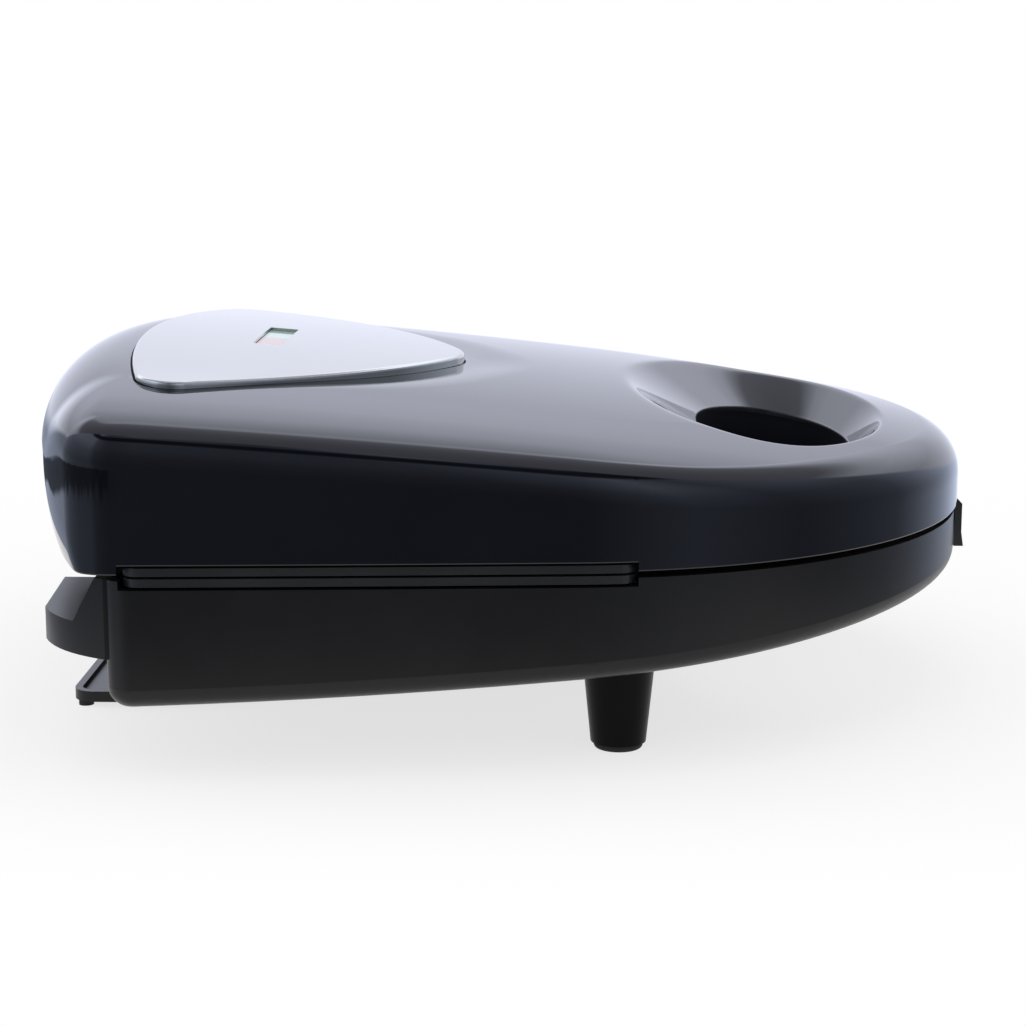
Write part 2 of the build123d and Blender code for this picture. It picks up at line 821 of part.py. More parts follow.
def base_posts():
    """Posts on the base's floor for the plate, the reflector and the front deck."""
    post_z = lower_plate_z - plate_thickness - plate_boss_height - seat_gap
    shoulder_z1 = lower_plate_z - reflector_offset - reflector_thickness - seat_gap
    deck_z = base_rim_z - panel_gap - panel_thickness - seat_gap
    posts = [rod(x, y, low_z, post_z, post_radius) for x, y in plate_screw_points]
    posts += [rod(x, y, low_z, shoulder_z1, post_shoulder_radius) for x, y in plate_screw_points]
    posts += [rod(x, y, low_z, deck_z, post_radius) for x, y in front_panel_points]
    return joined(posts)


def feet():
    """Two tall tapered front feet, moulded with the base."""
    foot_z = pad_height - pad_sink
    height = belly_z(foot_x) + wall - foot_z
    leg = Pos(foot_x, -foot_y, foot_z) * Cone(foot_bottom_radius, foot_top_radius, height, align=up)
    seat = rod(foot_x, -foot_y, low_z, pad_height, pad_radius)
    return both_sides(leg - seat)


def base_shell():
    outer = base_outer()
    hollow = column(plan(base_inset + wall, 0), low_z, high_z) & belly(-wall)
    sleeve = column(oval(hole_centre_x, hole_half_x + wall, hole_half_y + wall), low_z, base_rim_z)
    shell = outer - hollow + ((base_posts() + sleeve) & outer) + feet() + both_sides(ear())
    shell = shell + both_sides(lugs())
    shell = shell - column(oval(hole_centre_x, hole_half_x, hole_half_y), low_z, high_z)
    shell = shell - plate_screw_ways()
    for x, y in front_panel_points:
        deck_z = base_rim_z - panel_gap
        shell = shell - rod(x, y, deck_z - panel_screw_depth - pilot_spare, deck_z, pilot_radius)
    shell = shell - window(lower_plate_z - plate_thickness - window_gap, high_z)
    half = latch_half_width + 2 * latch_side_gap
    shell = shell - block(catch_x, far, -half, half, low_z, high_z)
    catch = block(catch_x - catch_depth, far, -half, half, latch_bottom_z - wall, catch_bottom_z)
    catch_wall = block(
        catch_x - catch_depth - wall, catch_x, -half - wall, half + wall, low_z, base_rim_z
    )
    shell = shell + (catch_wall & outer) - catch
    inlet = Pos(base_rear_x, 0, inlet_z) * Rot(0, 90, 0) * Cylinder(inlet_body_radius + seat_gap, inlet_length)
    shell = shell - inlet
    for x, y in wrap_screw_points():
        shell = shell - rod(x, y, low_z, belly_z(x) + 2 * wall, pilot_radius)
    return shell


def panel_plan(inset):
    """Plan of the flat panel in the front part, round the finger hole."""
    face = plan(inset + wall + panel_gap, 0)
    front_x = plate_front_x + 2 * window_end_gap
    face = face & Pos(front_x + far / 2, 0) * Rectangle(far, far)
    return face - oval(hole_centre_x, hole_half_x + wall + panel_gap, hole_half_y + wall + panel_gap)


def base_front_deck():
    z1 = base_rim_z - panel_gap
    deck = column(panel_plan(base_inset), z1 - panel_thickness, z1)
    half = latch_half_width + 2 * latch_side_gap + wall + panel_gap
    deck = deck - block(catch_x - catch_depth - wall - panel_gap, far, -half, half, low_z, high_z)
    return deck - joined([sunk_hole(x, y, z1, low_z) for x, y in front_panel_points])


def deck_screws():
    z = base_rim_z - panel_gap
    return group([flat_screw(x, y, z, z - panel_screw_depth) for x, y in front_panel_points])


def lid_front_liner():
    z0 = lid_rim_z + panel_gap
    liner = column(panel_plan(0), z0, z0 + panel_thickness)
    half = latch_half_width + latch_side_gap + latch_pin_bearing + panel_gap
    room = block(
        latch_pivot_x - latch_boss_radius - latch_boss_wall - panel_gap, far, -half, half, low_z, high_z
    )
    return liner - room - joined([sunk_hole(x, y, z0, high_z) for x, y in front_panel_points])


def lid_rear_liner():
    z0 = lid_rim_z + panel_gap
    face = plan(wall + panel_gap, lid_bulge)
    front_x = plate_rear_x - 2 * window_end_gap
    face = face & Pos(front_x - far / 2, 0) * Rectangle(far, far)
    liner = column(face, z0, z0 + panel_thickness) - rear_undercut(wall + panel_gap)
    arm = block(
        -far, hinge_x + hinge_boss_radius + panel_gap, -arm_outer_y - panel_gap, -arm_inner_y + panel_gap,
        low_z, high_z,
    )
    holes = joined([sunk_hole(x, y, z0, high_z) for x, y in rear_panel_points])
    return (liner - both_sides(arm) - holes).solids().sort_by(SortBy.VOLUME)[-1]


def liner_screws():
    z = lid_rim_z + panel_gap
    points = front_panel_points + rear_panel_points
    return group([flat_screw(x, y, z, z + panel_screw_depth) for x, y in points])


# Thermostat and fuse
def thermostat():
    z = upper_plate_z + plate_thickness + seat_gap
    can = rod(control_x, control_y, z, z + thermostat_height, thermostat_radius)
    cap_z = z + thermostat_height
    neck = rod(control_x, control_y, cap_z, cap_z + panel_thickness, thermostat_radius / 2)
    tab_x = control_x - thermostat_radius / 2
    tabs = []
    for side in (-1, 1):
        tab_y = control_y + side * tab_spread - tab_thickness / 2
        tabs.append(
            block(tab_x, tab_x + thermostat_radius, tab_y, tab_y + tab_thickness, cap_z, cap_z + tab_height)
        )
    return joined([can, neck] + tabs)


def thermal_fuse():
    z = upper_plate_z + plate_thickness + seat_gap
    foot = block(
        control_x - fuse_radius - fuse_bracket_margin, control_x + fuse_radius + fuse_bracket_margin,
        -control_y - fuse_bracket / 2, -control_y + fuse_bracket / 2, z, z + reflector_thickness,
    )
    body = rod_y(
        control_x, z + fuse_radius, -control_y - fuse_length / 2, -control_y + fuse_length / 2, fuse_radius
    )
    return foot + body


# Latch
def latch():
    """A clip that hangs on a pin in the lid's front and hooks under the base's catch."""
    back_x = latch_front_x - latch_thickness
    lip_z = latch_bottom_z + latch_lip_height
    step_z = base_rim_z + panel_gap
    upper_z = step_z + latch_set_back
    nose_top_z = latch_nose_z + latch_nose_height
    outline = Polyline(
        (back_x - latch_set_back, latch_top_z), (latch_front_x - latch_set_back, latch_top_z),
        (latch_front_x - latch_set_back, upper_z), (latch_front_x, step_z), (latch_front_x, lip_z),
        (latch_lip_x, latch_bottom_z), (back_x, latch_bottom_z), (back_x, latch_nose_z),
        (latch_nose_x, latch_nose_z + latch_nose_height / 2), (latch_nose_x, nose_top_z),
        (back_x, nose_top_z), (back_x, step_z), (back_x - latch_set_back, upper_z), close=True,
    )
    face = Plane.XZ * make_face(outline)
    body = extrude(face, latch_half_width, both=True)
    barrel = rod_y(latch_pivot_x, latch_pivot_z, -latch_half_width, latch_half_width, latch_boss_radius)
    arm = block(
        latch_pivot_x, latch_front_x - latch_set_back, -latch_half_width, latch_half_width,
        latch_pivot_z - latch_boss_radius, latch_pivot_z + latch_boss_radius,
    )
    bore = rod_y(latch_pivot_x, latch_pivot_z, -far, far, latch_pin_radius + latch_pin_clearance)
    return body + barrel + arm - bore


def latch_pin():
    return rod_y(latch_pivot_x, latch_pivot_z, -latch_pin_end(), latch_pin_end(), latch_pin_radius)


# Rear bracket, feet, inlet
def wrap_screw_points():
    """Where the bracket is screwed to the base."""
    x = (wrap_core_rear_x + wrap_core_front_x) / 2
    return [(x, side * wrap_screw_y) for side in (-1, 1)]


def cord_wrap_bracket():
    """A flanged spool half under the rear, round which the cord is wound away."""
    length = wrap_front_x - wrap_rear_x
    mid_x = (wrap_front_x + wrap_rear_x) / 2
    top = wrap_bottom_z + wrap_thickness
    face = fillet((Pos(mid_x, 0) * Rectangle(length, 2 * wrap_half_y)).vertices(), wrap_corner)
    flange = column(face, wrap_bottom_z, top + wrap_lip_height)
    flange = flange - column(offset(face, -wrap_lip_width), top, high_z)
    core_x = (wrap_core_rear_x + wrap_core_front_x) / 2
    core_size = Pos(core_x, 0) * Rectangle(wrap_core_front_x - wrap_core_rear_x, 2 * wrap_core_half_y)
    core_face = fillet(core_size.vertices(), wrap_corner)
    core = (column(core_face, wrap_bottom_z, high_z) - belly(seat_gap))
    hollow = column(offset(core_face, -wrap_core_wall), top, high_z)
    posts = joined([rod(x, y, wrap_bottom_z, high_z, post_radius) for x, y in wrap_screw_points()])
    posts = posts - belly(seat_gap)
    bracket = flange + core - hollow + posts
    for x, y in wrap_screw_points():
        bracket = bracket - rod(x, y, low_z, high_z, post_hole_radius)
        bracket = bracket - rod(x, y, low_z, wrap_bottom_z + 2 * screw_head_height, screw_recess_radius)
    for side in (-1, 1):
        bracket = bracket - rod(nub_x, side * nub_y, low_z, wrap_bottom_z + nub_sink, nub_radius)
    return bracket


def cord_wrap_screws():
    seat = wrap_bottom_z + 2 * screw_head_height
    return group([screw(x, y, seat, belly_z(x) + wall) for x, y in wrap_screw_points()])


def rear_foot_pads():
    return group([rod(nub_x, side * nub_y, 0, wrap_bottom_z + nub_sink, nub_radius) for side in (-1, 1)])


def front_foot_pads():
    pads = []
    for side in (-1, 1):
        pad = rod(foot_x, side * foot_y, 0, pad_height, pad_radius)
        low_edge = pad.edges().sort_by(Axis.Z)[0]
        pads.append(fillet(low_edge, pad_round))
    return group(pads)


def cord_inlet():
    """A flanged bush in the base's rear wall for the mains cord."""
    turn = Pos(base_rear_x, 0, inlet_z) * Rot(0, 90, 0)
    flange = turn * Pos(0, 0, -inlet_flange) * Cylinder(inlet_flange_radius, inlet_flange, align=up)
    body = turn * Pos(0, 0, -inlet_flange) * Cylinder(inlet_body_radius, inlet_length, align=up)
    nut = turn * Pos(0, 0, wall + seat_gap) * Cylinder(inlet_flange_radius, inlet_flange, align=up)
    bore = turn * Cylinder(inlet_bore_radius, 4 * inlet_length)
    return flange + body + nut - bore


def terminal_block():
    """The block in the base where the mains cord and the elements join."""
    z = belly_z(terminal_x + terminal_size_x / 2) + wall + seat_gap
    body = block(
        terminal_x - terminal_size_x / 2, terminal_x + terminal_size_x / 2, -terminal_size_y / 2,
        terminal_size_y / 2, z, z + terminal_height,
    )
    ways = [
        Pos(terminal_x, (i - 1) * terminal_size_y / 3, z + terminal_height / 2) * Rot(0, 90, 0)
        * Cylinder(terminal_height / 4, 2 * terminal_size_x)
        for i in range(3)
    ]
    return body - joined(ways)


def hinge_pins():
    inner, outer = hinge_pin_ends()
    return group([
        rod_y(hinge_x, hinge_z, min(s * inner, s * outer), max(s * inner, s * outer), hinge_pin_radius)
        for s in (-1, 1)
    ])


nodes = {
    "base_shell": base_shell,
    "base_front_deck": base_front_deck,
    "deck_screws": deck_screws,
    "lower_plate": lambda: cooking_plate(1),
    "lower_element": lambda: element(1),
    "lower_element_clamps": lambda: group(element_clamps(1)),
    "lower_clamp_screws": lambda: group(clamp_screws(1)),
    "lower_reflector": lambda: reflector(1),
    "lower_plate_screws": lower_plate_screws,
    "front_foot_pads": front_foot_pads,
    "rear_foot_pads": rear_foot_pads,
    "cord_wrap_bracket": cord_wrap_bracket,
    "cord_wrap_screws": cord_wrap_screws,
    "cord_inlet": cord_inlet,
    "terminal_block": terminal_block,
    "hinge_pins": hinge_pins,
    "lid_shell": lid_shell,
    "top_plate": top_plate,
    "power_lens": lambda: lens(-1),
    "ready_lens": lambda: lens(1),
    "lamp_holder": lamp_holder,
    "neon_lamps": neon_lamps,
    "upper_plate": lambda: cooking_plate(-1),
    "upper_element": lambda: element(-1),
    "upper_element_clamps": lambda: group(element_clamps(-1)),
    "upper_clamp_screws": lambda: group(clamp_screws(-1)),
    "upper_reflector": lambda: reflector(-1),
    "upper_plate_screws": upper_plate_screws,
    "thermostat": thermostat,
    "thermal_fuse": thermal_fuse,
    "lid_front_liner": lid_front_liner,
    "lid_rear_liner": lid_rear_liner,
    "liner_screws": liner_screws,
    "latch_pin": latch_pin,
    "latch": latch,
}

os.makedirs("parts", exist_ok=True)
for name, make in nodes.items():
    export_step(Pos(frame_shift, 0, 0) * make(), f"parts/{name}.step")
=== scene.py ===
"""Looks of the donut maker: a fine lid skin, materials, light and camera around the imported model."""

from math import atan2, cos, hypot, pi, radians, sin

import bpy
import numpy as np
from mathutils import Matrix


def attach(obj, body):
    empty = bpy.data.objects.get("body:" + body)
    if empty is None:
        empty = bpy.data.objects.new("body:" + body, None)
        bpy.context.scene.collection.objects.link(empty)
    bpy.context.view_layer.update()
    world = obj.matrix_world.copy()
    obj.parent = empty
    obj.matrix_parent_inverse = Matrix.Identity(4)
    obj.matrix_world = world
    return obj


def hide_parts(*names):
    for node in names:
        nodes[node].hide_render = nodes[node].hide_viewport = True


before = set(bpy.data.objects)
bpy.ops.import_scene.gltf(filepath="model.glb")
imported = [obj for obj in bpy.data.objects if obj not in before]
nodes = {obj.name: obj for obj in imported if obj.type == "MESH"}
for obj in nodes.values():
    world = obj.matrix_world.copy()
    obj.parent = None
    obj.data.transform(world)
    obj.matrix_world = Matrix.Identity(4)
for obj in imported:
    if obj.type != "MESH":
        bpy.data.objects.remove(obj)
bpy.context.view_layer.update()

# Shape values, in millimetres in the source's own axes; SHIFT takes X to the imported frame
SHIFT = 3.25
FRONT_RADIUS = 112.0
FRONT_CENTRE_X = 9.0
SIDE_ANGLE = radians(86.0)
HALF_WIDTH = 118.5
CORNER_X = -102.0
BULGE = 26.8
CORNER_ROUND = 12.0
WALL = 2.8
RIM_Z = 51.2
RIM_CHAMFER = 0.4
WALL_FOOT = 0.05
ROLL_SIDE = 10.0
ROLL_FRONT = 12.5
ROLL_CORNER = 9.0
ROLL_REAR = 21.0
ROLL_CORNER_X = -88.0
ROLL_CORNER_BLEND = 10.0
ROLL_REAR_X = -98.0
ROLL_REAR_Y = 114.0
ROLL_REAR_BLEND = 40.0
FRONT_END_DEGREES = 75
FRONT_BLEND_DEGREES = 45
EDGE_DROP = 0.003
EDGE_DROP_FROM = 72.0
EDGE_DROP_FRONT = 0.35
SHOULDER_X = -108.0
SHOULDER_Z = 95.5
TOP_MID_Z = 86.4
TOP_FRONT_X = 118.0
TOP_FRONT_Z = 71.6
SHOULDER_END = (-131.0, 74.0)
CROWN_RADIUS = 1250.0
UNDERCUT_DEPTH = 4.1
UNDERCUT_HEIGHT = 22.0
UNDERCUT_RADIUS = 310.0
UNDERCUT_SOFT = 2.0
UNDERCUT_FROM_X = -60
INNER_WALL_HEIGHT = 24
WINDOW_X = (-92.2, 30.2)
WINDOW_Z = 53.35
NOTCH_HALF = 14.4
NOTCH_Z = 59.5
SIDE_FROM_Y = 90
NOTCH_FROM_X = 60
HOLE_X = 70.0
HOLE_HALF = (21.0, 40.0)
HOLE_MOUTH_HALF = (21.5, 49.5)
DISH_X = 63.0
DISH_HALF = (38.0, 76.0)
DISH_DEPTH = 10.2
DISH_LIP = 0.17
DISH_LIP_SOFT = 0.030
HOLE_EDGE = 1.2
TUBE_LOW_Z = 51.35
TUBE_FLARE_Z = 56.3
TRIM_TIP_X = -15.0
TRIM_SIDE = (-50.0, 60.0)
TRIM_CORNER = (-91.0, 89.0)
TRIM_REAR_X = -104.0
TRIM_TIP_ROUND = 26.0
TRIM_CORNER_ROUND = 9.0
SCOOP_DEPTH = 1.1
SCOOP_X = -62
SCOOP_BLEND = 44
SCOOP_WIDTH = 5
SCOOP_WIDTH_GAIN = 15
SCOOP_WIDTH_X = -70
SCOOP_WIDTH_BLEND = 60
SEAT_DEPTH = 1.3
SEAT_INSET = 0.5
SEAT_SLOPE = 2.0
SEAT_SHALLOWER = 0.8
# Painted shadow strip round the plate: offsets out from its edge and heights above the lid
GAP_SHADOW_REACH = 0.45
GAP_SHADOW_PROFILE = ((-0.3, -0.5), (-0.05, 0.03), (GAP_SHADOW_REACH, 0.03), (0.6, -0.4))
HINGE = (-112.0, 46.0)
HINGE_BARREL = 4.5
HINGE_ARM_Y = (40.0, 46.0)
HINGE_ARM_TOP_Z = 56.0
AROUND = 900
STEP_CLEARANCE = 0.35
STEP_HALF = 0.03

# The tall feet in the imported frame, in metres
FOOT_X = 0.02945
FOOT_Y = 0.082
FOOT_REACH = 0.0115
FOOT_SOFT = 0.001

# Looks that change within one moulding: painted shade on the tall feet, and on the finger hole's matt wall,
# whose reflection is turned down
FOOT_SHADE_COLOUR = (0.0006, 0.0006, 0.0007, 1)
BASE_SPECULAR = 0.3
FOOT_SHADE_SPECULAR = 0.1
LID_SPECULAR = 0.5
BORE_SHADE_SPECULAR = 0.05
BORE_ROUGH = 0.85
BORE_EDGE = 0.98

# Sockets of the Mix node, which share their names
FLOAT_A, FLOAT_B = 2, 3
COLOUR_A, COLOUR_B, COLOUR_OUT = 6, 7, 2

# Camera of the photograph
CAMERA_PLACE = ((15.75 + SHIFT) / 1000, -0.6427, 0.1684)
CAMERA_PITCH = 79.04
CAMERA_TURN = 1.64
CAMERA_LENS = 81.0


def smooth(t):
    t = np.clip(t, 0, 1)
    return t * t * (3 - 2 * t)


def arc_through(p, q, r):
    """Centre and radius of the circle through three points."""
    d = 2 * (p[0] * (q[1] - r[1]) + q[0] * (r[1] - p[1]) + r[0] * (p[1] - q[1]))
    sums = [a[0] ** 2 + a[1] ** 2 for a in (p, q, r)]
    x = (sums[0] * (q[1] - r[1]) + sums[1] * (r[1] - p[1]) + sums[2] * (p[1] - q[1])) / d
    y = (sums[0] * (r[0] - q[0]) + sums[1] * (p[0] - r[0]) + sums[2] * (q[0] - p[0])) / d
    return np.array([x, y]), hypot(p[0] - x, p[1] - y)


def arc_points(centre, radius, start, end, count):
    """Points along the shorter arc from start, without its end."""
    a0 = atan2(start[1] - centre[1], start[0] - centre[0])
    a1 = atan2(end[1] - centre[1], end[0] - centre[0])
    turn = (a1 - a0 + pi) % (2 * pi) - pi
    return [
        (centre[0] + radius * cos(a0 + turn * i / count), centre[1] + radius * sin(a0 + turn * i / count))
        for i in range(count)
    ]


def fillet_centre(c1, r1, c2, r2, near):
    """The point at distance r1 from c1 and r2 from c2 that is nearest to a guess."""
    at = np.array(near, float)
    for _ in range(40):
        v1, v2 = at - c1, at - c2
        d1, d2 = hypot(*v1), hypot(*v2)
        at = at - np.linalg.solve(np.array([v1 / d1, v2 / d2]), np.array([d1 - r1, d2 - r2]))
    return at


def mirrored_loop(half):
    """A closed loop from its +Y half, which runs from the front to the rear centre line."""
    half = np.array(half)
    return np.vstack([half, half[-2:0:-1] * [1, -1]])


def resample(loop, places):
    """Points of a closed loop at the given lengths along it."""
    closed = np.vstack([loop, loop[:1]])
    lengths = np.concatenate([[0], np.cumsum(np.hypot(*np.diff(closed, axis=0).T))])
    at = np.mod(places, lengths[-1])
    return np.column_stack([np.interp(at, lengths, closed[:, 0]), np.interp(at, lengths, closed[:, 1])])


def loop_length(loop):
    return np.hypot(*(np.roll(loop, -1, 0) - loop).T).sum()


def inward(loop):
    """Unit normals of a loop that runs anticlockwise."""
    along = np.roll(loop, -1, 0) - np.roll(loop, 1, 0)
    along /= np.hypot(*along.T)[:, None]
    return np.column_stack([-along[:, 1], along[:, 0]])


def lid_loop():
    """The lid's plan: round front, nearly straight sides, rounded corners and a bowed rear."""
    turn = np.array([FRONT_CENTRE_X + FRONT_RADIUS * cos(SIDE_ANGLE), FRONT_RADIUS * sin(SIDE_ANGLE)])
    corner = np.array([CORNER_X, HALF_WIDTH])
    into = np.array([-cos(SIDE_ANGLE), -sin(SIDE_ANGLE)])
    chord = corner - turn
    side_radius = chord @ chord / (2 * (chord @ into))
    side_centre = turn + into * side_radius
    rear_radius = (HALF_WIDTH ** 2 + BULGE ** 2) / (2 * BULGE)
    rear = np.array([CORNER_X - BULGE, 0.0])
    rear_centre = rear + [rear_radius, 0]
    mid = fillet_centre(
        side_centre, side_radius - CORNER_ROUND, rear_centre, rear_radius - CORNER_ROUND,
        corner + [CORNER_ROUND, -CORNER_ROUND],
    )
    on_side = side_centre + (mid - side_centre) * side_radius / (side_radius - CORNER_ROUND)
    on_rear = rear_centre + (mid - rear_centre) * rear_radius / (rear_radius - CORNER_ROUND)
    front = np.array([FRONT_CENTRE_X, 0])
    half = arc_points(front, FRONT_RADIUS, front + [FRONT_RADIUS, 0], turn, 400)
    half += arc_points(side_centre, side_radius, turn, on_side, 300)
    half += arc_points(mid, CORNER_ROUND, on_side, on_rear, 120)
    half += arc_points(rear_centre, rear_radius, on_rear, rear, 300)
    return mirrored_loop(half + [tuple(rear)])


def shield_loop(count):
    """The silver plate's plan: a rounded shield with its tip to the front."""
    tip = (TRIM_TIP_X, 0.0)
    side_centre, side_radius = arc_through(tip, TRIM_SIDE, TRIM_CORNER)
    low_centre = side_centre * [1, -1]
    rear = (TRIM_REAR_X, 0.0)
    rear_centre, rear_radius = arc_through(TRIM_CORNER, rear, (TRIM_CORNER[0], -TRIM_CORNER[1]))
    tip_mid = fillet_centre(
        side_centre, side_radius - TRIM_TIP_ROUND, low_centre, side_radius - TRIM_TIP_ROUND,
        (TRIM_TIP_X - TRIM_TIP_ROUND, 0.001),
    )
    tip_end = side_centre + (tip_mid - side_centre) * side_radius / (side_radius - TRIM_TIP_ROUND)
    mid = fillet_centre(
        side_centre, side_radius - TRIM_CORNER_ROUND, rear_centre, rear_radius - TRIM_CORNER_ROUND,
        (TRIM_CORNER[0] + TRIM_CORNER_ROUND, TRIM_CORNER[1] - TRIM_CORNER_ROUND),
    )
    on_side = side_centre + (mid - side_centre) * side_radius / (side_radius - TRIM_CORNER_ROUND)
    on_rear = rear_centre + (mid - rear_centre) * rear_radius / (rear_radius - TRIM_CORNER_ROUND)
    front = tip_mid + [TRIM_TIP_ROUND, 0]
    half = arc_points(tip_mid, TRIM_TIP_ROUND, front, tip_end, 120)
    half += arc_points(side_centre, side_radius, tip_end, on_side, 300)
    half += arc_points(mid, TRIM_CORNER_ROUND, on_side, on_rear, 60)
    half += arc_points(rear_centre, rear_radius, on_rear, rear, 200)
    loop = mirrored_loop(half + [rear])
    return resample(loop, np.linspace(0, loop_length(loop), count, endpoint=False))


def centre_line():
    """Circles of the lid's top and of its rear shoulder, in the plane of symmetry."""
    def height(x):
        rear = (SHOULDER_Z - TOP_MID_Z) / SHOULDER_X
        front = (TOP_FRONT_Z - TOP_MID_Z) / TOP_FRONT_X
        bend = (front - rear) / (TOP_FRONT_X - SHOULDER_X)
        return TOP_MID_Z + x * (rear + bend * (x - SHOULDER_X))

    nose_x = FRONT_CENTRE_X + FRONT_RADIUS + WALL
    start = np.array([SHOULDER_X, SHOULDER_Z])
    top_centre, top_radius = arc_through(start, (0, TOP_MID_Z), (nose_x, height(nose_x)))
    along = np.array([-(start - top_centre)[1], (start - top_centre)[0]]) / top_radius
    across = np.array([along[1], -along[0]])
    chord = np.array(SHOULDER_END) - start
    if chord @ across < 0:
        across = -across
    shoulder_radius = chord @ chord / (2 * (chord @ across))
    return top_centre, top_radius, start + across * shoulder_radius, shoulder_radius


TOP_CENTRE, TOP_RADIUS, SHOULDER_CENTRE, SHOULDER_RADIUS = centre_line()
SHIELD = shield_loop(700)


def front_share(x, y):
    """How far round the front a place lies: 1 ahead, 0 at the sides."""
    off_ahead = np.degrees(np.abs(np.arctan2(y, x - FRONT_CENTRE_X)))
    return smooth((FRONT_END_DEGREES - off_ahead) / FRONT_BLEND_DEGREES)


def crown(x, y):
    """Height of the lid's plain top, which falls away towards the sides."""
    def rise(centre, radius):
        return np.sqrt(np.maximum(radius ** 2 - (x - centre[0]) ** 2, 0))

    way = 1 if TOP_CENTRE[1] < TOP_MID_Z else -1
    main = TOP_CENTRE[1] + way * rise(TOP_CENTRE, TOP_RADIUS)
    shoulder = SHOULDER_CENTRE[1] + rise(SHOULDER_CENTRE, SHOULDER_RADIUS)
    bow = CROWN_RADIUS - np.sqrt(CROWN_RADIUS ** 2 - y * y)
    behind = (FRONT_CENTRE_X - x) / (FRONT_CENTRE_X - CORNER_X)
    half_width = FRONT_RADIUS + (HALF_WIDTH - FRONT_RADIUS) * behind
    ahead = np.hypot(x - FRONT_CENTRE_X, y)
    reach = np.where(x > FRONT_CENTRE_X, ahead, np.abs(y) * FRONT_RADIUS / half_width)
    drop = EDGE_DROP * np.maximum(reach - EDGE_DROP_FROM, 0) ** 2
    drop = drop * (1 + (EDGE_DROP_FRONT - 1) * front_share(x, y))
    return np.where(x >= SHOULDER_X, main, shoulder) - bow - drop


def shield_distance(x, y):
    """Signed distance from the silver plate's edge, negative under the plate; far points get a large value."""
    far, margin, batch = 1e3, 30, 4000
    flat = np.column_stack([x.ravel(), y.ravel()])
    out = np.full(len(flat), far)
    low, high = SHIELD.min(0) - margin, SHIELD.max(0) + margin
    near = np.where(((flat > low) & (flat < high)).all(1))[0]
    into = inward(SHIELD)
    for part in np.array_split(near, max(1, len(near) // batch)):
        gap = flat[part][:, None, :] - SHIELD[None, :, :]
        dist = np.hypot(gap[..., 0], gap[..., 1])
        best = dist.argmin(1)
        row = np.arange(len(part))
        side = np.sign((gap[row, best] * into[best]).sum(1))
        out[part] = -side * dist[row, best]
    return out.reshape(x.shape)


def lid_top(x, y):
    """Height of the lid's top with the shallow scoop round the plate's tip and the seat under the plate."""
    gap = shield_distance(x, y)
    fade = smooth((x - SCOOP_X) / SCOOP_BLEND)
    width = SCOOP_WIDTH + SCOOP_WIDTH_GAIN * smooth((x - SCOOP_WIDTH_X) / SCOOP_WIDTH_BLEND)
    scoop = SCOOP_DEPTH * fade * (1 - smooth(gap / width))
    seat = SEAT_DEPTH * smooth((-gap - SEAT_INSET) / SEAT_SLOPE)
    return crown(x, y) - np.where(gap > 0, scoop, SCOOP_DEPTH * fade) - seat * (1 - SEAT_SHALLOWER * fade)


def mesh_object(name, points, faces, material):
    data = bpy.data.meshes.new(name)
    metres = np.asarray(points, float).copy()
    metres[:, 0] += SHIFT
    data.from_pydata((metres / 1000).tolist(), [], faces)
    data.validate()
    made = bpy.data.objects.new(name, data)
    bpy.context.scene.collection.objects.link(made)
    data.materials.append(material)
    data.shade_smooth()
    return made


def grid_faces(rows, columns, close_rows, close_columns):
    """Quads of a grid whose points are numbered row by row."""
    faces = []
    for i in range(rows if close_rows else rows - 1):
        a, b = i * columns, (i + 1) % rows * columns
        for j in range(columns if close_columns else columns - 1):
            k = (j + 1) % columns
            faces.append((a + j, a + k, b + k, b + j))
    return faces


def ellipse(centre_x, half, angle):
    return np.column_stack([centre_x + half[0] * np.cos(angle), half[1] * np.sin(angle)])


def lid_columns():
    """Points of the lid's plan, with close pairs where the rim steps up for the windows and the latch."""
    search_points = 40000
    loop = lid_loop()
    total = loop_length(loop)
    fine = resample(loop, np.linspace(0, total, search_points, endpoint=False))
    steps = []
    for i in range(len(fine)):
        p, q = fine[i], fine[(i + 1) % len(fine)]
        window = any(abs(p[1]) > SIDE_FROM_Y and (p[0] - w) * (q[0] - w) <= 0 for w in WINDOW_X)
        notch = p[0] > NOTCH_FROM_X and (abs(p[1]) - NOTCH_HALF) * (abs(q[1]) - NOTCH_HALF) <= 0
        if window or notch:
            steps.append(total * (i + 0.5) / len(fine))
    places = np.linspace(0, total, AROUND, endpoint=False)
    places = [u for u in places if min(abs(u - s) for s in steps) > STEP_CLEARANCE]
    places += [s + d for s in steps for d in (-STEP_HALF, STEP_HALF)]
    return resample(loop, np.array(sorted(places)))


